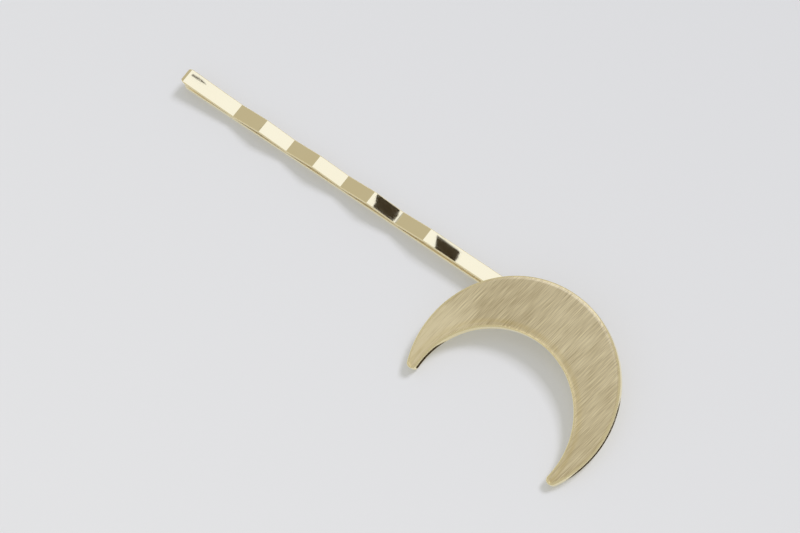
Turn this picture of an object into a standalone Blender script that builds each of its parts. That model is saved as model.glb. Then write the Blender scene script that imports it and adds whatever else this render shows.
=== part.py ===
"""Hairpin: a flat spring wire folded back on itself, with a brushed crescent plate soldered over its bend.

Metres, +Z up. The straight leg lies along X on the plane z = 0, with the origin under the middle of its length.
The open tips are at -X and the bend is at +X. The crescent's horns point towards -Y, and its lower horn comes
down to the plane that the straight leg lies on.
"""

import math

import bmesh
import bpy
from mathutils import Vector

mm = 0.001

# The wire, its cut tips, which are spread a little wider than the rest, and the fold at its closed end
pin_length = 60.3 * mm
wire_width = 1.76 * mm
wire_thickness = 0.5 * mm
wire_edge_radius = 0.13 * mm
tip_corner_radius = 0.2 * mm
tip_spread = 0.24 * mm
tip_spread_length = 21.0 * mm
bend_inner_radius = 0.55 * mm
bend_parting = 0.15 * mm

# The crimps of the upper leg, counted from its cut tip
first_valley_from_tip = 8.3 * mm
crimp_pitch = 8.43 * mm
crimp_height = 0.71 * mm
crest_share = 0.5
crimp_corner_radius = 0.9 * mm
leg_gap = 0.3 * mm
gap_growth = 0.08 * mm
tip_lift = 0.83 * mm
seat_length = 10.0 * mm

# The crescent plate: an outer circle less the circle of its bay, with round horns
crescent_radius = 12.5 * mm
band_width = 6.87 * mm
bay_offset = 4.41 * mm
horn_radius = 0.63 * mm
plate_thickness = 1.27 * mm
face_edge_radius = 0.22 * mm
back_edge_radius = 0.1 * mm
crescent_turn = math.radians(85.0)
bend_past_centre = 3.5 * mm
leg_off_band_middle = 0.13 * mm

# The solder between the leg's seat and the plate's back
solder_clearance = 0.12 * mm
solder_film = 0.12 * mm
solder_length = 7.5 * mm
solder_fillet = 0.7 * mm
solder_toe = 0.1 * mm
solder_cover = 0.3 * mm
solder_end_share = 0.35

# Fineness of the round stretches
edge_steps = 3
tip_steps = 4
crimp_steps = 4
bend_steps = 8
horn_steps = 10
outer_steps = 96
bay_steps = 72
fillet_steps = 5
solder_steps = 10

# Colours of the metals, the angle past which an edge is left sharp, and how near a height counts as on it
polished_gold = (0.83, 0.71, 0.46)
brushed_gold = (0.52, 0.45, 0.29)
solder_gold = (0.62, 0.53, 0.36)
sharp_angle = math.radians(40.0)
level_tolerance = 0.001 * mm

# Heights of the two legs, at the middle of the wire's thickness
bend_radius = bend_inner_radius + wire_thickness / 2
straight_height = wire_thickness / 2
bend_height = straight_height + bend_radius
seat_height = bend_height + bend_radius
seat_top = seat_height + wire_thickness / 2
first_valley_height = wire_thickness + leg_gap + wire_thickness / 2

# Places along the pin
tip_x = -pin_length / 2
bend_end_x = pin_length / 2
bend_start_x = bend_end_x - bend_radius - wire_thickness / 2
seat_start_x = bend_start_x - seat_length

# The bay's circle, and the place of the crescent's centre: its band lies over the leg and covers the bend
bay_radius = crescent_radius + bay_offset - band_width
crescent_x = bend_end_x - bend_past_centre
crescent_y = band_width / 2 + leg_off_band_middle - crescent_radius
crescent_lean = crescent_turn - math.pi / 2
plate_edge_x = crescent_x - math.sqrt(crescent_radius ** 2 - crescent_y ** 2)
crimp_count = int((plate_edge_x - tip_x - first_valley_from_tip) / crimp_pitch)

# Centre of each horn's rounding, across and along the crescent's own axis from the outer circle's centre
horn_reach = crescent_radius - horn_radius
horn_along = ((bay_radius + horn_radius) ** 2 - horn_reach ** 2 - bay_offset ** 2) / (2 * bay_offset)
horn_across = math.sqrt(horn_reach ** 2 - horn_along ** 2)


def plate_seat():
    """Height of the plate's back over the leg's middle line, and the tilt that brings its lower horn to z = 0."""
    horn_y = crescent_y + horn_along * math.cos(crescent_lean) - horn_across * abs(math.sin(crescent_lean))
    reach = horn_radius - horn_y
    tilt = 0.0
    for _ in range(20):
        height = seat_top + 2 * solder_clearance + solder_film + math.tan(tilt) * wire_width / 2
        tilt = math.asin(height / reach)
    return height, tilt


plate_height, plate_tilt = plate_seat()


def metal(name, colour, roughness):
    """The metal finish of one piece."""
    material = bpy.data.materials.new(name)
    material.use_nodes = True
    shader = material.node_tree.nodes["Principled BSDF"]
    shader.inputs["Base Color"].default_value = (*colour, 1.0)
    shader.inputs["Roughness"].default_value = roughness
    shader.inputs["Metallic"].default_value = 1.0
    material.diffuse_color = (*colour, 1.0)
    return material


def place(name, mesh, material, parent):
    """Put a mesh in the scene as one named piece, shaded smooth but for its sharp edges."""
    mesh.shade_smooth()
    mesh.set_sharp_from_angle(angle=sharp_angle)
    mesh.materials.append(material)
    piece = bpy.data.objects.new(name, mesh)
    bpy.context.collection.objects.link(piece)
    piece.parent = parent
    return piece


def empty(name, location, tilt=0.0, parent=None):
    """A point that pieces hang from, tilted about X."""
    point = bpy.data.objects.new(name, None)
    point.parent = parent
    point.location = location
    point.rotation_euler = (tilt, 0, 0)
    bpy.context.collection.objects.link(point)
    return point


def arc(centre, radius, start, end, steps):
    """Points on a circle from one angle to another, both ends included."""
    turns = [start + (end - start) * i / steps for i in range(steps + 1)]
    return [(centre[0] + radius * math.cos(a), centre[1] + radius * math.sin(a)) for a in turns]


def loft(name, rings):
    """A closed solid through rings of points, with a face on each end."""
    shape = bmesh.new()
    loops = [[shape.verts.new(point) for point in ring] for ring in rings]
    count = len(loops[0])
    for near, far in zip(loops, loops[1:]):
        for i in range(count):
            after = (i + 1) % count
            shape.faces.new((near[i], near[after], far[after], far[i]))
    shape.faces.new(loops[0][::-1])
    shape.faces.new(loops[-1])
    bmesh.ops.recalc_face_normals(shape, faces=shape.faces)
    mesh = bpy.data.meshes.new(name)
    shape.to_mesh(mesh)
    shape.free()
    return mesh


def bend(station, turn, radius, steps):
    """Stations along a bend of the wire, which turns anticlockwise for a positive angle."""
    x, z, heading = station
    side = math.copysign(radius, turn)
    centre_x = x - side * math.sin(heading)
    centre_z = z + side * math.cos(heading)
    headings = [heading + turn * i / steps for i in range(1, steps + 1)]
    return [(centre_x + side * math.sin(a), centre_z - side * math.cos(a), a) for a in headings]


def path_through(corners, radius, steps):
    """Stations (x, z, heading) of straight runs between corners, with each corner on the way rounded."""
    headings = [math.atan2(b[1] - a[1], b[0] - a[0]) for a, b in zip(corners, corners[1:])]
    stations = [(*corners[0], headings[0])]
    for (x, z), before, after in zip(corners[1:-1], headings, headings[1:]):
        trim = radius * math.tan(abs(after - before) / 2)
        start = (x - trim * math.cos(before), z - trim * math.sin(before), before)
        stations += [start, *bend(start, after - before, radius, steps)]
    stations.append((*corners[-1], headings[-1]))
    return stations


def wire_section(half_width, half_thickness):
    """The wire's section as (across, through) points: a flat bar with rounded edges."""
    radius = min(wire_edge_radius, half_thickness)
    points = []
    for quarter, (side, face) in enumerate(((1, 1), (-1, 1), (-1, -1), (1, -1))):
        centre = (side * (half_width - radius), face * (half_thickness - radius))
        start = quarter * math.pi / 2
        points += arc(centre, radius, start, start + math.pi / 2, edge_steps)
    return points


def half_width_at(x):
    """Half the wire's width, which grows evenly towards the cut tips over the length where it is spread."""
    return (wire_width + tip_spread * max(0.0, 1 - (x - tip_x) / tip_spread_length)) / 2


def cut_tip(station):
    """Sections of the wire's cut tip, as (station, half width, half thickness), with its corners rounded."""
    x, z, heading = station
    sections = []
    for i in range(tip_steps + 1):
        swing = math.pi / 2 * (1 - i / tip_steps)
        trim = tip_corner_radius * (1 - math.sin(swing))
        narrowing = tip_corner_radius * (1 - math.cos(swing))
        thinning = wire_edge_radius * (1 - math.cos(swing))
        at = (x + trim * math.cos(heading), z + trim * math.sin(heading), heading)
        sections.append((at, half_width_at(x) - narrowing, wire_thickness / 2 - thinning))
    return sections


def wire(name, stations, origin):
    """A length of the flat wire, from its cut tip along its stations."""
    sections = cut_tip(stations[0])
    sections += [(station, half_width_at(station[0]), wire_thickness / 2) for station in stations[1:]]
    rings = []
    for (x, z, heading), half_width, half_thickness in sections:
        middle = Vector((x, 0, z)) - origin
        outward = Vector((-math.sin(heading), 0, math.cos(heading)))
        points = wire_section(half_width, half_thickness)
        rings.append([middle + outward * through + Vector((0, across, 0)) for across, through in points])
    return loft(name, rings)


def half_bend(station, turn):
    """Stations of half the pin's fold, which ends short of the middle, where the wire is parted."""
    parting_angle = bend_parting / 2 / bend_inner_radius
    return bend(station, turn - math.copysign(parting_angle, turn), bend_radius, bend_steps)


def crimped_leg(parent):
    """The upper leg: lifted tip, crimps, the flat seat under the plate, and the upper half of the fold.

    Its origin is on the line that it swings about.
    """
    corners = [(tip_x, first_valley_height + tip_lift)]
    for i in range(crimp_count):
        valley_x = tip_x + first_valley_from_tip + i * crimp_pitch
        valley_z = first_valley_height + i * gap_growth
        corners.append((valley_x, valley_z))
        corners.append((valley_x + crest_share * crimp_pitch, valley_z + crimp_height))
    corners.append((seat_start_x, seat_height))
    corners.append((bend_start_x, seat_height))
    stations = path_through(corners, crimp_corner_radius, crimp_steps)
    stations += half_bend(stations[-1], -math.pi / 2)
    mesh = wire("crimped_leg", stations, parent.location)
    return place("crimped_leg", mesh, metal("upper_leg_gold", polished_gold, 0.08), parent)


def straight_leg(parent):
    """The lower leg and the lower half of the fold."""
    fold_start = (bend_start_x, straight_height, 0.0)
    stations = [(tip_x, straight_height, 0.0), (tip_x + tip_spread_length, straight_height, 0.0), fold_start]
    stations += half_bend(fold_start, math.pi / 2)
    mesh = wire("straight_leg", stations, parent.location)
    return place("straight_leg", mesh, metal("lower_leg_gold", polished_gold, 0.08), parent)


def crescent_outline():
    """The crescent's edge, anticlockwise about the outer circle's centre, with the crescent's axis along +Y."""
    outer_angle = math.atan2(horn_along, horn_across)
    bay_angle = math.atan2(horn_along + bay_offset, horn_across)
    left_horn = (-horn_across, horn_along)
    right_horn = (horn_across, horn_along)
    stretches = (
        arc((0, 0), crescent_radius, outer_angle, math.pi - outer_angle, outer_steps),
        arc(left_horn, horn_radius, math.pi - outer_angle, math.tau - bay_angle, horn_steps),
        arc((0, -bay_offset), bay_radius, math.pi - bay_angle, bay_angle, bay_steps),
        arc(right_horn, horn_radius, math.pi + bay_angle, math.tau + outer_angle, horn_steps),
    )
    return [point for stretch in stretches for point in stretch[:-1]]


def rim_edges(shape, height):
    """The edges where the plate's side wall meets the flat at a height."""
    flat_edges = [edge for edge in shape.edges if all(abs(v.co.z - height) < level_tolerance for v in edge.verts)]
    return [edge for edge in flat_edges if edge.calc_face_angle() > sharp_angle]


def crescent_plate(parent):
    """The flat crescent, with its face edge rounded over and its back edge broken."""
    shape = bmesh.new()
    back = shape.faces.new([shape.verts.new((x, y, 0)) for x, y in crescent_outline()])
    raised = bmesh.ops.extrude_face_region(shape, geom=[back])
    upper = [item for item in raised["geom"] if isinstance(item, bmesh.types.BMVert)]
    bmesh.ops.translate(shape, verts=upper, vec=(0, 0, plate_thickness))
    bmesh.ops.recalc_face_normals(shape, faces=shape.faces)
    for height, radius, steps in ((plate_thickness, face_edge_radius, edge_steps), (0, back_edge_radius, 1)):
        bmesh.ops.bevel(
            shape, geom=rim_edges(shape, height), offset=radius, segments=steps, profile=0.5, affect="EDGES"
        )
    mesh = bpy.data.meshes.new("crescent_plate")
    shape.to_mesh(mesh)
    shape.free()
    plate = place("crescent_plate", mesh, metal("plate_gold", brushed_gold, 0.38), parent)
    plate.location = (crescent_x, crescent_y, 0)
    plate.rotation_euler = (0, 0, crescent_lean)
    return plate


def solder_section(spread):
    """The solder as (y, z) points: a film on the leg's seat that runs out in a hollow fillet down each side."""
    inner = wire_width / 2 + solder_clearance
    outer = inner + solder_toe + spread
    foot = seat_top - solder_cover
    points = []
    for side in (1, -1):
        roof = plate_height - solder_clearance + math.tan(plate_tilt) * side * outer
        swings = [math.pi / 2 * i / fillet_steps for i in range(fillet_steps + 1)]
        fillet = [(side * (outer - spread * math.sin(a)), roof - (roof - foot) * (1 - math.cos(a))) for a in swings]
        half = fillet + [(side * inner, foot), (side * inner, seat_top + solder_clearance)]
        points += half if side == 1 else half[::-1]
    return points


def solder_joint(parent):
    """The solder that holds the plate to the leg's seat, drawn in towards both ends."""
    middle_x = (seat_start_x + bend_start_x) / 2
    rings = []
    for i in range(solder_steps + 1):
        swing = math.pi * i / solder_steps
        spread = solder_fillet * (solder_end_share + (1 - solder_end_share) * math.sin(swing))
        x = middle_x - math.cos(swing) * solder_length / 2
        rings.append([Vector((x, y, z)) - parent.location for y, z in solder_section(spread)])
    mesh = loft("solder_joint", rings)
    return place("solder_joint", mesh, metal("solder", solder_gold, 0.3), parent)


for leftover in list(bpy.data.objects):
    bpy.data.objects.remove(leftover, do_unlink=True)

pin_frame = empty("pin_frame", (0, 0, 0))
opening_axis = empty("opening_axis", (bend_end_x, 0, bend_height))
plate_rest = empty("plate_rest", (-bend_end_x, 0, plate_height - bend_height), plate_tilt, opening_axis)

straight_leg(pin_frame)
crimped_leg(opening_axis)
crescent_plate(plate_rest)
solder_joint(opening_axis)
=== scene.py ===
"""Looks of a light gold hairpin: a folded, polished wire with a brushed crescent soldered over its bend."""

import math

import bmesh
import bpy
from mathutils import Matrix, Vector


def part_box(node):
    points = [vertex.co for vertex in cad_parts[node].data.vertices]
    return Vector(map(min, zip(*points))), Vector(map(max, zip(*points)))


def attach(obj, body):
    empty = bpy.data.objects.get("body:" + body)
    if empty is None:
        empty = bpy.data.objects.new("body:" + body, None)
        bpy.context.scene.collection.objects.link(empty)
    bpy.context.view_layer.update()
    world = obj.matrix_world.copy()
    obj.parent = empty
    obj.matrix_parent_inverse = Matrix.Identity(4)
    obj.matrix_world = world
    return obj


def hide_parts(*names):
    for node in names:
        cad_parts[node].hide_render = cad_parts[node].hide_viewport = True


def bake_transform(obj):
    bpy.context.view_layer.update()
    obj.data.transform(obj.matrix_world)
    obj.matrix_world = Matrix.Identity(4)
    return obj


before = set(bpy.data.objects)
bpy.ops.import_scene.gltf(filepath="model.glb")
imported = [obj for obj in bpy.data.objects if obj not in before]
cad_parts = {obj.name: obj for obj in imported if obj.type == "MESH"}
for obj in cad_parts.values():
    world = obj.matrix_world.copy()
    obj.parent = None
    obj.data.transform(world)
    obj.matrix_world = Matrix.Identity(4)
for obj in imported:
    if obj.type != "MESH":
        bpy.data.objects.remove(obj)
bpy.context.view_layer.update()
mm = 0.001
micron = 0.001 * mm


# The pin
#
# One length of flat spring steel wire, plated in light gold and polished. It is crimped along its upper leg
# and folded back on itself under the crescent. Its cut ends are spread a little and rounded at the corners.

leg_low, leg_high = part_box("crimped_leg")
straight_low, straight_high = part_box("straight_leg")
tip_spread = 0.24 * mm
tip_spread_length = 21.0 * mm
wire_width = leg_high.y - leg_low.y - tip_spread
wire_thickness = 0.5 * mm
wire_edge_radius = 0.08 * mm
tip_corner_radius = 0.24 * mm
tip_round_reach = 0.6 * mm
crimp_count = 4
first_valley_from_tip = 8.3 * mm
crimp_pitch = 8.43 * mm
crimp_height = 0.71 * mm
crest_share = 0.5
crimp_radius = 0.5 * mm
crest_radius = 1.8 * mm
leg_gap = 0.3 * mm
gap_growth = 0.08 * mm
tip_lift = 0.83 * mm
seat_length = 10.0 * mm
fold_radius = 0.8 * mm
wire_step = 0.07 * mm
crimp_fillet_steps = 6
fold_fillet_steps = 24
edge_fillet_steps = 6
sharp_cosine = math.cos(math.radians(50.0))

tip_x = straight_low.x
fold_x = straight_high.x - wire_thickness / 2
seat_start_x = fold_x - fold_radius - seat_length
straight_height = straight_low.z + wire_thickness / 2
seat_height = straight_height + 2 * fold_radius
first_valley_height = straight_height + wire_thickness + leg_gap


class Wired:
    """A value in a node tree. Arithmetic on it adds Math nodes to the tree."""

    def __init__(self, tree, socket=None):
        self.tree = tree
        self.socket = socket

    def node(self, kind, settings=None, inputs=None, output=0):
        """Add a node, with its settings set first and then its inputs, and return one of its outputs."""
        made = self.tree.nodes.new(kind)
        for name, setting in (settings or {}).items():
            setattr(made, name, setting)
        for name, given in (inputs or {}).items():
            if isinstance(given, Wired):
                self.tree.links.new(given.socket, made.inputs[name])
            else:
                made.inputs[name].default_value = given
        return Wired(self.tree, made.outputs[output])

    def maths(self, operation, *others):
        return self.node("ShaderNodeMath", {"operation": operation}, dict(enumerate((self, *others))))

    def axis(self, name):
        """The X, Y or Z of a vector."""
        return self.node("ShaderNodeSeparateXYZ", None, {"Vector": self}, name)

    def __add__(self, other):
        return self.maths("ADD", other)

    def __mul__(self, other):
        return self.maths("MULTIPLY", other)

    def __sub__(self, other):
        return self.maths("SUBTRACT", other)

    def __rsub__(self, other):
        return self * -1 + other

    def __truediv__(self, other):
        return self.maths("DIVIDE", other)

    def __mod__(self, other):
        return self.maths("FLOORED_MODULO", other)

    def __gt__(self, other):
        return self.maths("GREATER_THAN", other)

    def __lt__(self, other):
        return self.maths("LESS_THAN", other)

    __radd__ = __add__
    __rmul__ = __mul__


def bent_wire_tree(values):
    """Geometry Nodes that set out the wire's corners, round them, and sweep the flat section along them."""
    tree = bpy.data.node_groups.new("bent_wire", "GeometryNodeTree")
    tree.interface.new_socket("Geometry", in_out="OUTPUT", socket_type="NodeSocketGeometry")
    for name, value in values.items():
        kind = {float: "Float", int: "Int"}.get(type(value), "Material")
        tree.interface.new_socket(name, in_out="INPUT", socket_type="NodeSocket" + kind)
    given = tree.nodes.new("NodeGroupInput")
    sizes = {socket.name: Wired(tree, socket) for socket in given.outputs[:-1]}
    start = Wired(tree)

    def point(x, z):
        """A corner in the plane that the wire is bent in."""
        return start.node("ShaderNodeCombineXYZ", None, {"X": x, "Z": z})

    def choose(test, no, yes):
        return start.node(
            "GeometryNodeSwitch", {"input_type": "VECTOR"}, {"Switch": test, "False": no, "True": yes},
        )

    # The first corner is the lifted tip. Each crimp's valley and crest follow, and then the fold's corners.
    index = start.node("GeometryNodeInputIndex")
    crimp_points = sizes["Crimps"] * 2
    crimp = ((index - 1) / 2).maths("FLOOR")
    on_crest = (index - 1) % 2
    pitches = crimp + on_crest * sizes["Crest Share"]
    along = sizes["Tip X"] + sizes["First Valley From Tip"] + pitches * sizes["Crimp Pitch"]
    valley_height = sizes["First Valley Height"] + crimp * sizes["Gap Growth"]
    crimped = point(along, valley_height + on_crest * sizes["Crimp Height"])
    lifted_tip = point(sizes["Tip X"], sizes["First Valley Height"] + sizes["Tip Lift"])
    seat_height = sizes["Straight Height"] + sizes["Fold Radius"] * 2
    fold_corners = (
        point(sizes["Seat Start X"], seat_height),
        point(sizes["Fold X"], seat_height),
        point(sizes["Fold X"], sizes["Straight Height"]),
        point(sizes["Tip X"], sizes["Straight Height"]),
    )
    after_crimps = index - crimp_points
    folded = start.node("GeometryNodeIndexSwitch", {"data_type": "VECTOR"})
    folded_node = folded.socket.node
    while len(folded_node.index_switch_items) < len(fold_corners):
        folded_node.index_switch_items.new()
    tree.links.new((after_crimps - 1).socket, folded_node.inputs["Index"])
    for number, corner in enumerate(fold_corners):
        tree.links.new(corner.socket, folded_node.inputs[str(number)])
    place = choose(index > crimp_points, choose(index < 1, crimped, lifted_tip), folded)

    line = start.node("GeometryNodeMeshLine", None, {"Count": crimp_points + len(fold_corners) + 1})
    line = line.node("GeometryNodeSetPosition", None, {"Geometry": line, "Position": place})
    path = line.node("GeometryNodeMeshToCurve", None, {"Mesh": line})
    at_fold = after_crimps > 1
    crimp_fillet = sizes["Crimp Radius"] + on_crest * (sizes["Crest Radius"] - sizes["Crimp Radius"])
    fillet = crimp_fillet + at_fold * (sizes["Fold Radius"] - crimp_fillet)
    steps = at_fold * (fold_fillet_steps - crimp_fillet_steps) + crimp_fillet_steps
    path = path.node(
        "GeometryNodeFilletCurve", {"mode": "POLY"},
        {"Curve": path, "Radius": fillet, "Count": steps, "Limit Radius": True},
    )
    path = path.node(
        "GeometryNodeResampleCurve", {"mode": "LENGTH"}, {"Curve": path, "Length": sizes["Step"]},
    )
    path = path.node(
        "GeometryNodeSetCurveNormal", {"mode": "FREE"}, {"Curve": path, "Normal": (0.0, 1.0, 0.0)},
    )

    # The section narrows towards both cut ends by a quarter of an ellipse at each corner.
    run = path.node("GeometryNodeSplineParameter", output="Length")
    whole = path.node("GeometryNodeSplineLength", output="Length")
    from_end = run.maths("MINIMUM", whole - run)
    into_corner = (1 - from_end / sizes["Tip Round Reach"]).maths("MAXIMUM", 0.0)
    narrowing = sizes["Tip Corner Radius"] * (1 - (1 - into_corner * into_corner).maths("SQRT"))
    scale = 1 - narrowing / (sizes["Width"] / 2)
    section = start.node(
        "GeometryNodeCurvePrimitiveQuadrilateral", {"mode": "RECTANGLE"},
        {"Width": sizes["Width"], "Height": sizes["Thickness"]},
    )
    section = section.node(
        "GeometryNodeFilletCurve", {"mode": "POLY"},
        {
            "Curve": section, "Radius": sizes["Edge Radius"],
            "Count": edge_fillet_steps, "Limit Radius": True,
        },
    )
    swept = path.node(
        "GeometryNodeCurveToMesh", None,
        {"Curve": path, "Profile Curve": section, "Scale": scale, "Fill Caps": True},
    )
    here = start.node("GeometryNodeInputPosition")
    x, y, z = (here.axis(name) for name in "XYZ")
    near_tip = (1 - (x - sizes["Tip X"]) / sizes["Tip Spread Length"]).maths("MAXIMUM", 0.0)
    widened = y * (1 + near_tip * sizes["Tip Spread"] / sizes["Width"])
    spread = start.node("ShaderNodeCombineXYZ", None, {"X": x, "Y": widened, "Z": z})
    swept = swept.node("GeometryNodeSetPosition", None, {"Geometry": swept, "Position": spread})
    swept = swept.node("GeometryNodeRealizeInstances", None, {"Geometry": swept})
    swept = swept.node("GeometryNodeSetMaterial", None, {"Geometry": swept, "Material": sizes["Metal"]})
    finished = tree.nodes.new("NodeGroupOutput")
    tree.links.new(swept.socket, finished.inputs["Geometry"])
    return tree


def placed(name, data):
    """A new object in the scene."""
    thing = bpy.data.objects.new(name, data)
    bpy.context.scene.collection.objects.link(thing)
    return thing


def grown(name, tree, values):
    """A plain mesh object, made by a node tree from named values."""
    piece = placed(name, bpy.data.meshes.new(name + "_start"))
    growth = piece.modifiers.new("growth", "NODES")
    growth.node_group = tree
    for socket in tree.interface.items_tree:
        if socket.in_out == "INPUT":
            growth[socket.identifier] = values[socket.name]
    bpy.context.view_layer.update()
    grown_piece = piece.evaluated_get(bpy.context.evaluated_depsgraph_get())
    mesh = bpy.data.meshes.new_from_object(grown_piece)
    piece.modifiers.clear()
    piece.data = mesh
    mesh.name = name
    return piece


def flatten_mirrors(piece):
    """Lean the shading of a smooth piece towards its broad faces, so that they mirror as true flats."""
    mesh = piece.data
    mesh.shade_smooth()
    around = [[] for _ in mesh.vertices]
    for face in mesh.polygons:
        for vertex in face.vertices:
            around[vertex].append((face.normal, (face.area / mm ** 2) ** 2))
    normals = []
    for face in mesh.polygons:
        for vertex in face.vertices:
            smooth = Vector()
            for normal, weight in around[vertex]:
                if normal.dot(face.normal) > sharp_cosine:
                    smooth += normal * weight
            normals.append(smooth.normalized())
    mesh.normals_split_custom_set(normals)


def mottle(place, scale, detail):
    """Noise from 0 to 1 about a middle of one half, finer with its scale and rougher with its detail."""
    return place.node(
        "ShaderNodeTexNoise", None, {"Vector": place, "Scale": scale, "Detail": detail}, "Fac",
    )


def mixed_colour(share, first, second):
    """The first colour with this share of the second in it."""
    return share.node("ShaderNodeMix", {"data_type": "RGBA"}, {0: share, 6: first, 7: second}, 2)


def gold(name, finish):
    """A metal with the colour, roughness and relief that a finish works out from the place on the piece."""
    material = bpy.data.materials.new(name)
    material.use_nodes = True
    tree = material.node_tree
    shader = tree.nodes["Principled BSDF"]
    shader.inputs["Metallic"].default_value = 1.0
    here = Wired(tree).node("ShaderNodeTexCoord", output="Object")
    colour, roughness, relief = finish(here)
    normal = here.node(
        "ShaderNodeBump", None, {"Height": relief, "Distance": 1.0, "Strength": 1.0}, "Normal",
    )
    tree.links.new(colour.socket, shader.inputs["Base Color"])
    tree.links.new(roughness.socket, shader.inputs["Roughness"])
    tree.links.new(normal.socket, shader.inputs["Normal"])
    return material


noise_middle = 0.5
wire_gold_tints = ((0.92, 0.79, 0.475, 1.0), (0.94, 0.825, 0.52, 1.0))
# Painted light: a paler gold for the straight leg, which lies in the upper leg's shade.
painted_light_gold = (0.99, 0.91, 0.68, 1.0)
tint_scale = 160.0
draw_mark_scale = (250.0, 9000.0, 9000.0)
draw_mark_height = 0.003 * micron
draw_mark_roughening = 0.15
wave_scale = 450.0
wave_height = 0.15 * micron
wire_roughness = 0.03
satin_roughening = 0.4
wall_reach = 0.05 * mm
wall_roughening = 0.15


def polished(here):
    """A mirror with faint draw marks along the wire and slight waves. The straight leg is satin, and its
    paler colour is painted light where it lies in the upper leg's shade.
    """
    drawn = here.node("ShaderNodeMapping", None, {"Vector": here, "Scale": draw_mark_scale})
    marks = mottle(drawn, scale=1.0, detail=3.0)
    waves = mottle(here, wave_scale, detail=1.0)
    tint = mottle(here, tint_scale, detail=2.0)
    near_tip = (1 - (here.axis("X") - tip_x) / tip_spread_length).maths("MAXIMUM", 0.0)
    from_middle = here.axis("Y").maths("ABSOLUTE") - near_tip * (tip_spread / 2)
    on_wall = from_middle > wire_width / 2 - wall_reach
    on_straight_leg = here.axis("Z") < straight_height + wire_thickness
    # The straight leg's paler colour is painted light, standing in for light reaching it under the upper
    # leg.
    colour = mixed_colour(on_straight_leg, mixed_colour(tint, *wire_gold_tints), painted_light_gold)
    marked = (marks - noise_middle).maths("MAXIMUM", 0.0) * draw_mark_roughening
    roughness = wire_roughness + marked + on_straight_leg * satin_roughening + on_wall * (1 - on_straight_leg) * wall_roughening
    relief = waves * wave_height + marks * draw_mark_height
    return colour, roughness, relief


wire_values = {
    "Tip X": tip_x,
    "Seat Start X": seat_start_x,
    "Fold X": fold_x,
    "Straight Height": straight_height,
    "First Valley Height": first_valley_height,
    "Tip Lift": tip_lift,
    "First Valley From Tip": first_valley_from_tip,
    "Crimps": crimp_count,
    "Crimp Pitch": crimp_pitch,
    "Crimp Height": crimp_height,
    "Crest Share": crest_share,
    "Gap Growth": gap_growth,
    "Crimp Radius": crimp_radius,
    "Crest Radius": crest_radius,
    "Fold Radius": fold_radius,
    "Width": wire_width,
    "Thickness": wire_thickness,
    "Edge Radius": wire_edge_radius,
    "Tip Corner Radius": tip_corner_radius,
    "Tip Round Reach": tip_round_reach,
    "Tip Spread": tip_spread,
    "Tip Spread Length": tip_spread_length,
    "Step": wire_step,
    "Metal": gold("polished_light_gold", polished),
}
pin_wire = grown("pin_wire", bent_wire_tree(wire_values), wire_values)
flatten_mirrors(pin_wire)
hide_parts("crimped_leg", "straight_leg")
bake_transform(pin_wire)


# The crescent
#
# A flat crescent blanked from brass sheet and plated in light gold. Its face has a straight brushed grain
# from the horns to the crown, its rim is rounded and satin smooth, and its wall is polished.

crescent_radius = 12.5 * mm
band_width = 6.87 * mm
bay_offset = 4.41 * mm
horn_radius = 0.63 * mm
plate_thickness = 1.27 * mm
face_edge_radius = 0.22 * mm
face_edge_reach = 0.42 * mm
face_edge_flatness = 1.5
back_edge_radius = 0.1 * mm
crescent_lean = math.radians(-5.0)
bend_past_centre = 3.5 * mm
leg_off_band_middle = 0.13 * mm
plate_height = 2.6078 * mm
plate_tilt = math.radians(9.5346)
outer_steps = 288
bay_steps = 208
horn_steps = 28
rim_steps = 12
rim_margin = 0.03 * mm

bay_radius = crescent_radius + bay_offset - band_width
horn_reach = crescent_radius - horn_radius
horn_along = ((bay_radius + horn_radius) ** 2 - horn_reach ** 2 - bay_offset ** 2) / (2 * bay_offset)
horn_across = math.sqrt(horn_reach ** 2 - horn_along ** 2)
crescent_across = band_width / 2 + leg_off_band_middle - crescent_radius
plate_frame = (
    Matrix.Translation((0, 0, plate_height))
    @ Matrix.Rotation(plate_tilt, 4, "X")
    @ Matrix.Translation((straight_high.x - bend_past_centre, crescent_across, 0))
    @ Matrix.Rotation(crescent_lean, 4, "Z")
)


def arc(centre, radius, start, end, steps, facing=1):
    """Points on a circle with the direction that faces out of the plate at each, without the last."""
    turns = [start + (end - start) * i / steps for i in range(steps)]
    return [
        (
            Vector((centre[0] + radius * math.cos(turn), centre[1] + radius * math.sin(turn))),
            Vector((math.cos(turn), math.sin(turn))) * facing,
        )
        for turn in turns
    ]


def crescent_outline():
    """The crescent's edge, anticlockwise about the outer circle's centre, with its axis along +Y."""
    left_horn = (-horn_across, horn_along)
    right_horn = (horn_across, horn_along)
    outer_angle = math.atan2(horn_along, horn_across)
    bay_angle = math.atan2(horn_along + bay_offset, horn_across)
    return [
        *arc((0, 0), crescent_radius, outer_angle, math.pi - outer_angle, outer_steps),
        *arc(left_horn, horn_radius, math.pi - outer_angle, math.tau - bay_angle, horn_steps),
        *arc((0, -bay_offset), bay_radius, math.pi - bay_angle, bay_angle, bay_steps, facing=-1),
        *arc(right_horn, horn_radius, math.pi + bay_angle, math.tau + outer_angle, horn_steps),
    ]


def rounded(reach, depth, height, start, end, steps, flatness=1.0):
    """The (inset, height) of points round an edge, rounded this far in and this deep about a height."""
    points = []
    for i in range(steps + 1):
        swing = math.radians(start + (end - start) * i / steps)
        inset = reach - reach * abs(math.cos(swing)) ** flatness
        rise = depth * math.copysign(abs(math.sin(swing)) ** flatness, swing)
        points.append((inset, height + rise))
    return points


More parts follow.
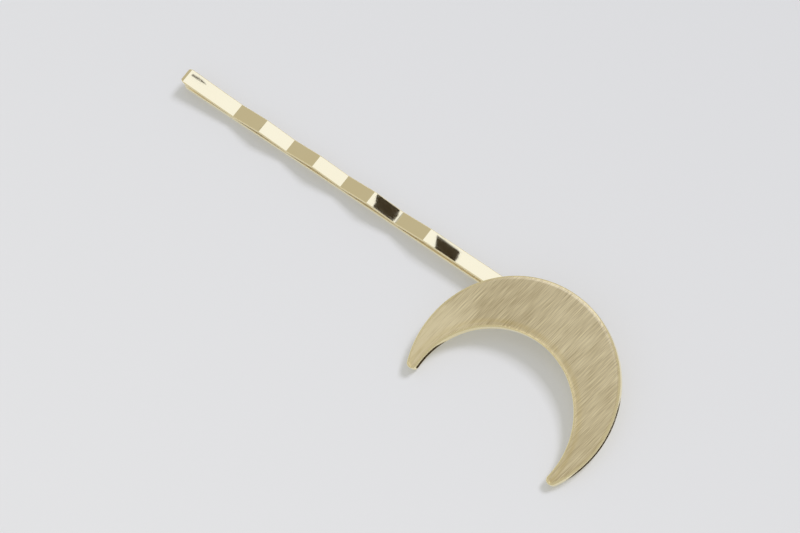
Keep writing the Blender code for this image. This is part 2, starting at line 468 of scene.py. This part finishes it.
def crescent_mesh():
    """The outline in rings from the back to the face, each drawn in by the rounding at its height."""
    shape = bmesh.new()
    edge_height = plate_thickness - face_edge_radius
    side = [
        (back_edge_radius + rim_margin, 0.0),
        *rounded(back_edge_radius, back_edge_radius, back_edge_radius, -90, 0, rim_steps // 2),
        *rounded(face_edge_reach, face_edge_radius, edge_height, 0, 90, rim_steps, face_edge_flatness),
        (face_edge_reach + rim_margin, plate_thickness),
    ]
    rings = []
    for inset, height in side:
        points = [spot - outward * inset for spot, outward in crescent_outline()]
        rings.append([shape.verts.new(plate_frame @ Vector((*point, height))) for point in points])
    count = len(rings[0])
    for lower, upper in zip(rings, rings[1:]):
        for i in range(count):
            after = (i + 1) % count
            shape.faces.new((lower[i], lower[after], upper[after], upper[i]))
    shape.faces.new(rings[0][::-1])
    shape.faces.new(rings[-1])
    mesh = bpy.data.meshes.new("crescent")
    shape.to_mesh(mesh)
    shape.free()
    return mesh


grain_turn = math.radians(6.0)
fine_share = 0.65
cut_share = 0.12
cut_levels = (0.64, 0.76)
grain_contrast = 2.5
broad_contrast = 0.4
middle_shade = 0.6
face_gold_tints = ((0.56, 0.45, 0.25, 1.0), (0.99, 0.865, 0.56, 1.0))
# Painted reflection: the face is painted dimmer near the crown and brighter at the left horn, standing in
# for how the flat face mirrors the room.
dim_reflection_middle = (-5.5 * mm, 6.5 * mm, plate_thickness)
dim_reflection_reach = (2.0 * mm, 6.5 * mm)
dim_reflection_loss = 0.18
bright_reflection_middle = (-10.8 * mm, -1.5 * mm, plate_thickness)
bright_reflection_reach = (1.5 * mm, 7.0 * mm)
bright_reflection_gain = 0.42
warm_band_start = (0.38 * mm, 0.6 * mm)
warm_band_end = (0.7 * mm, 1.2 * mm)
warm_share = 0.36
warm_gold = (0.70, 0.51, 0.12, 1.0)
rim_gold = (0.95, 0.83, 0.51, 1.0)
rim_start = (0.05 * mm, 0.1 * mm)
rim_raggedness = 0.2 * mm
wall_fade = 0.06 * mm
face_roughness = 0.34
grain_roughness = 0.25
rim_roughness = 0.22
plate_wall_roughness = 0.08
grain_height = 3.0 * micron
cut_depth = 2.0 * micron
rim_smoothing = 0.5


def brushed(here):
    """A straight grain along the crescent's axis with fine cuts in it, a satin rim and a polished wall, and
    painted reflection that dims the crown and brightens the left horn.
    """
    undo = plate_frame.inverted()
    on_plate = here.node(
        "ShaderNodeMapping", {"vector_type": "POINT"},
        {"Vector": here, "Location": undo.to_translation(), "Rotation": undo.to_euler()},
    )
    turned = {"Vector": on_plate, "Rotation": (0.0, 0.0, grain_turn)}

    def streaks(across, along, detail, seed):
        """Noise drawn out along the grain, with features this far across it and along it."""
        moved = here.node("ShaderNodeMapping", None, {**turned, "Location": (seed, seed, 0.0)})
        per_metre = (1 / across, 1 / along, 0.0)
        scaled = here.node("ShaderNodeMapping", None, {"Vector": moved, "Scale": per_metre})
        return mottle(scaled, scale=1.0, detail=detail)

    def ramp(value, low, high):
        """A smooth step from 0 at the low value to 1 at the high one."""
        return here.node(
            "ShaderNodeMapRange", {"interpolation_type": "SMOOTHSTEP"},
            {"Value": value, "From Min": low, "From Max": high},
        )

    def distance(spot):
        """How far each place on the plate is from a spot on it."""
        return here.node("ShaderNodeVectorMath", {"operation": "DISTANCE"}, {0: on_plate, 1: spot}, "Value")

    fine = streaks(across=0.07 * mm, along=2.4 * mm, detail=1.0, seed=0.011)
    coarse = streaks(across=0.17 * mm, along=4.0 * mm, detail=2.0, seed=0.047)
    broad = streaks(across=2.2 * mm, along=5.0 * mm, detail=1.0, seed=0.031)
    notch = streaks(across=0.28 * mm, along=2.0 * mm, detail=1.0, seed=0.061)
    cut = ramp(streaks(across=0.11 * mm, along=2.2 * mm, detail=1.0, seed=0.083), *cut_levels)
    grain = fine * fine_share + coarse * (1 - fine_share)
    below_face = plate_thickness - on_plate.axis("Z")
    rim = ramp(below_face + (notch - noise_middle) * rim_raggedness, *rim_start)
    wall = ramp(below_face, face_edge_radius, face_edge_radius + wall_fade)

    # Painted reflection: a dimmer patch near the crown and a brighter one at the left horn.
    painted_dim_reflection = 1 - ramp(distance(dim_reflection_middle), *dim_reflection_reach)
    painted_bright_reflection = 1 - ramp(distance(bright_reflection_middle), *bright_reflection_reach)
    shade = (grain - cut * cut_share - noise_middle) * grain_contrast
    shade = shade + (broad - noise_middle) * broad_contrast
    shade = shade + middle_shade - painted_dim_reflection * dim_reflection_loss + painted_bright_reflection * bright_reflection_gain
    face = mixed_colour(shade.maths("MAXIMUM", 0.0).maths("MINIMUM", 1.0), *face_gold_tints)
    from_bay = distance((0.0, -bay_offset, plate_thickness)) - bay_radius
    warm = ramp(from_bay, *warm_band_start) * (1 - ramp(from_bay, *warm_band_end))
    face = mixed_colour(warm * notch * warm_share, face, warm_gold)
    colour = mixed_colour(rim, face, rim_gold)

    grained = face_roughness + (grain - noise_middle) * grain_roughness
    roughness = grained * (1 - rim) + rim * rim_roughness - wall * (rim_roughness - plate_wall_roughness)
    relief = (grain * grain_height - cut * cut_depth) * (1 - rim * rim_smoothing)
    return colour, roughness, relief


crescent = placed("crescent", crescent_mesh())
crescent.data.materials.append(gold("brushed_light_gold", brushed))
flatten_mirrors(crescent)
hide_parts("crescent_plate")
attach(crescent, "upper")


# The solder
#
# Silver solder that joins the plate's back to the leg's flat seat, plated over with the rest. It shows only
# from below and from the side, as a satin fillet along both edges of the wire.

solder_tints = ((0.50, 0.41, 0.25, 1.0), (0.78, 0.68, 0.45, 1.0))
solder_roughness = 0.22
lump_roughening = 0.3
lump_scale = 1400.0
lump_height = 20.0 * micron


def soldered(here):
    """A satin finish with small lumps."""
    lumps = mottle(here, lump_scale, detail=3.0)
    colour = mixed_colour(lumps, *solder_tints)
    roughness = solder_roughness + lumps * lump_roughening
    relief = lumps * lump_height
    return colour, roughness, relief


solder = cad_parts["solder_joint"]
solder.data.materials.clear()
solder.data.materials.append(gold("plated_solder", soldered))


# The camera
#
# It stands over the pin's closed end, a quarter of a metre up, with a long lens and the pin running down to
# the right of its picture.

camera_place = Vector((95.595, -52.232, 236.613)) * mm
camera_aim = Vector((6.644, -4.466, 0.0)) * mm
camera_roll = math.radians(-25.68)
focal_length = 99.0
nearest_seen = 10 * mm
frame_width = 800
frame_height = 533


def standing(place, aim):
    """The transform of a camera or lamp that stands at a place and points at another."""
    return Matrix.Translation(place) @ (aim - place).to_track_quat("-Z", "Y").to_matrix().to_4x4()


camera_data = bpy.data.cameras.new("camera")
camera_data.lens = focal_length
camera_data.clip_start = nearest_seen
camera = placed("camera", camera_data)
camera.matrix_world = standing(camera_place, camera_aim) @ Matrix.Rotation(camera_roll, 4, "Z")
bpy.context.scene.camera = camera


# The studio
#
# A plain pale floor under even light, with a wide cool softbox overhead, which the crimps mirror, and a
# window lamp to one side, which casts the soft shadows. A curtain lamp behind and a dim fill lamp in front
# show only in what mirrors them, as pale highlights along the crescent's rim.

floor_size = 6.0
floor_drop = 0.02 * mm
board_colour = (0.725, 0.73, 0.745)
board_roughness = 0.7
matt_gloss = 0.2
# Painted light: the paper's glow is brighter towards the front of the floor.
far_paper_painted_light = (0.625, 0.63, 0.58, 1.0)
near_paper_painted_light = (0.89, 0.89, 0.83, 1.0)
painted_light_fade_length = 100.0 * mm
paper_seen_share = 0.3
paper_mirrored_share = 0.7
sky_colour = (0.555, 0.543, 0.51, 1.0)

floor_mesh = bpy.data.meshes.new("floor")
half = floor_size / 2
floor_corners = [(-half, -half, 0), (half, -half, 0), (half, half, 0), (-half, half, 0)]
floor_mesh.from_pydata(floor_corners, [], [(0, 1, 2, 3)])
floor = placed("floor", floor_mesh)
floor.location.z = -floor_drop


def matt(name, colour, roughness):
    material = bpy.data.materials.new(name)
    material.use_nodes = True
    shader = material.node_tree.nodes["Principled BSDF"]
    shader.inputs["Base Color"].default_value = (*colour, 1.0)
    shader.inputs["Roughness"].default_value = roughness
    shader.inputs["Specular IOR Level"].default_value = matt_gloss
    return material


# What the camera sees of the floor is the lit board with a share of plain glowing paper in it, which
# lightens the object's shadow.
# What the metal mirrors has more of the paper, which lightens the shadows that it mirrors. The glow is
# painted light, brighter towards the front.
pale_board = matt("pale_board", board_colour, board_roughness)
floor_mesh.materials.append(pale_board)
board_tree = pale_board.node_tree
board = Wired(board_tree)
seen = board.node("ShaderNodeLightPath", output="Is Camera Ray")
mirrored = board.node("ShaderNodeLightPath", output="Is Glossy Ray")
mirrored = mirrored + board.node("ShaderNodeLightPath", output="Is Transmission Ray")
paper_share = seen * paper_seen_share + mirrored * paper_mirrored_share
away = board.node("ShaderNodeTexCoord", output="Object").axis("Y")
painted_light_fade = (0.5 - away / painted_light_fade_length).maths("MAXIMUM", 0.0).maths("MINIMUM", 1.0)
paper_painted_light = mixed_colour(painted_light_fade, far_paper_painted_light, near_paper_painted_light)
paper = board.node("ShaderNodeEmission", None, {"Color": paper_painted_light, "Strength": 1.0})
lit = Wired(board_tree, board_tree.nodes["Principled BSDF"].outputs[0])
surface = board.node("ShaderNodeMixShader", None, {0: paper_share, 1: lit, 2: paper})
board_tree.links.new(surface.socket, board_tree.nodes["Material Output"].inputs["Surface"])

world = bpy.data.worlds.new("studio")
bpy.context.scene.world = world
world.use_nodes = True
sky = world.node_tree.nodes["Background"]
sky.inputs["Color"].default_value = sky_colour
sky.inputs["Strength"].default_value = 1.0


def lamp(name, place, aim, width, depth, radiance, colour, lights_matt=True, in_mirrors=True):
    """A rectangular lamp that shows a plain brightness in what mirrors it."""
    data = bpy.data.lights.new(name, "AREA")
    data.shape = "RECTANGLE"
    data.size = width
    data.size_y = depth
    data.color = colour
    data.energy = radiance * math.pi * width * depth
    light = placed(name, data)
    light.matrix_world = standing(Vector(place), Vector(aim))
    light.visible_diffuse = lights_matt
    light.visible_glossy = in_mirrors


lamp(
    "softbox", place=(-0.085, 0.135, 0.5), aim=(-0.085, 0.135, 0.0), width=0.30, depth=0.23,
    radiance=1.0, colour=(0.46, 0.56, 0.9),
)
lamp(
    "window", place=(0.416, 1.144, 1.3), aim=(0, 0, 0), width=0.48, depth=0.48,
    radiance=29.0, colour=(0.885, 0.89, 1.0), in_mirrors=False,
)
lamp(
    "curtain", place=(-0.30, 0.66, 0.73), aim=(0, 0, 0), width=0.95, depth=0.65,
    radiance=0.6, colour=(0.66, 0.70, 0.93), lights_matt=False,
)
lamp(
    "fill", place=(-0.418, -0.668, 0.616), aim=(0, 0, 0), width=1.0, depth=0.55,
    radiance=0.285, colour=(1.0, 1.0, 0.98), lights_matt=False,
)


# The black flags
#
# Three small black cards hang over the pin, out of the picture. Of the facets that fall towards the
# crescent, the first, fourth and fifth mirror them. Each card is set out from the corners of the dark patch
# that it leaves there, in pixels of the picture.

flag_height = 40.0 * mm
card_colour = (0.06, 0.047, 0.032)
card_roughness = 0.9
tip_sliver = (
    (192.7, 73.9), (200.5, 78.9), (204.3, 82.2), (206.8, 85.0), (203.4, 83.1), (199.4, 80.5),
    (191.6, 75.5),
)
fourth_patch = (
    (378.1, 198.6), (397.4, 212.3), (398.7, 214.9), (393.6, 221.0), (391.2, 221.2), (372.7, 206.8),
)
fifth_patch = (
    (437.0, 235.1), (457.7, 249.8), (460.0, 252.4), (459.4, 254.0), (454.7, 259.5), (452.3, 259.6),
    (435.2, 247.1),
)


def crimp_corner(crimps, on_crest):
    """Where the wire turns after so many crimps, at a valley or a crest: how far along, and how high."""
    along = tip_x + first_valley_from_tip + (crimps + on_crest * crest_share) * crimp_pitch
    return along, first_valley_height + crimps * gap_growth + on_crest * crimp_height


def dark_card(name, mesh, colour):
    """A matt card that shows in reflections alone."""
    mesh.materials.append(matt(name, colour, card_roughness))
    card = placed(name, mesh)
    card.visible_camera = False
    card.visible_diffuse = False
    card.visible_shadow = False
    return card


def flag(name, patch, facet_start, facet_end):
    """A card whose mirror image in one facet of the wire covers a patch of the picture."""
    run = Vector((facet_end[0] - facet_start[0], 0, facet_end[1] - facet_start[1])).normalized()
    facing = Vector((0, -1, 0)).cross(run)
    on_facet = Vector((facet_start[0], 0, facet_start[1])) + facing * wire_thickness / 2
    pixels_per_focal = frame_width * focal_length / camera_data.sensor_width
    corners = []
    for across, down in patch:
        ray = Vector((across - frame_width / 2, frame_height / 2 - down, -pixels_per_focal))
        ray = (camera.matrix_world.to_3x3() @ ray).normalized()
        spot = camera_place + ray * (on_facet - camera_place).dot(facing) / ray.dot(facing)
        bounced = ray.reflect(facing)
        corners.append(spot + bounced * (flag_height - spot.z) / bounced.z)
    mesh = bpy.data.meshes.new(name)
    mesh.from_pydata(corners, [], [tuple(range(len(corners)))])
    card = dark_card(name, mesh, card_colour)


flag("flag_over_tip", tip_sliver, (tip_x, first_valley_height + tip_lift), crimp_corner(0, False))
flag("flag_over_fourth_facet", fourth_patch, crimp_corner(2, True), crimp_corner(3, False))
flag("flag_over_fifth_facet", fifth_patch, crimp_corner(3, True), (seat_start_x, seat_height))


# The dark strip
#
# A strip of black card lies on the floor beside the crescent's right-hand walls, which mirror it to the
# camera. It is as wide as the part of the wall that it darkens, from its foot up, and runs out where the
# wall turns away.

strip_colour = (0.045, 0.031, 0.016)
strip_height = 0.01 * mm
dark_side = Vector((1.0, 0.02))
dark_start = 0.885
dark_full = 0.96
dark_share = 0.65
plate_turn = plate_frame.to_3x3()


def mirrored_on_floor(point, facing):
    """Where the camera sees the floor in a wall of the crescent."""
    sight = (point - camera_place).normalized().reflect(facing)
    return point + sight * (strip_height - point.z) / sight.z


strip = bmesh.new()
rungs = []
for spot, outward in crescent_outline():
    facing = (plate_turn @ Vector((*outward, 0))).normalized()
    turned = (facing.to_2d().normalized().dot(dark_side) - dark_start) / (dark_full - dark_start)
    turned = min(max(turned, 0.0), 1.0)
    share = dark_share * turned * turned * (3 - 2 * turned)
    foot = plate_frame @ Vector((*spot, back_edge_radius))
    top = foot.lerp(plate_frame @ Vector((*spot, plate_thickness)), share)
    rungs.append([mirrored_on_floor(point, facing) for point in (foot, top)] if share else None)
for rung, next_rung in zip(rungs, rungs[1:]):
    if rung and next_rung:
        strip.faces.new([strip.verts.new(corner) for corner in (*rung, *reversed(next_rung))])
strip_mesh = bpy.data.meshes.new("dark_strip")
strip.to_mesh(strip_mesh)
strip.free()
dark_strip = dark_card("dark_strip", strip_mesh, strip_colour)

bpy.context.scene.view_settings.view_transform = "Standard"
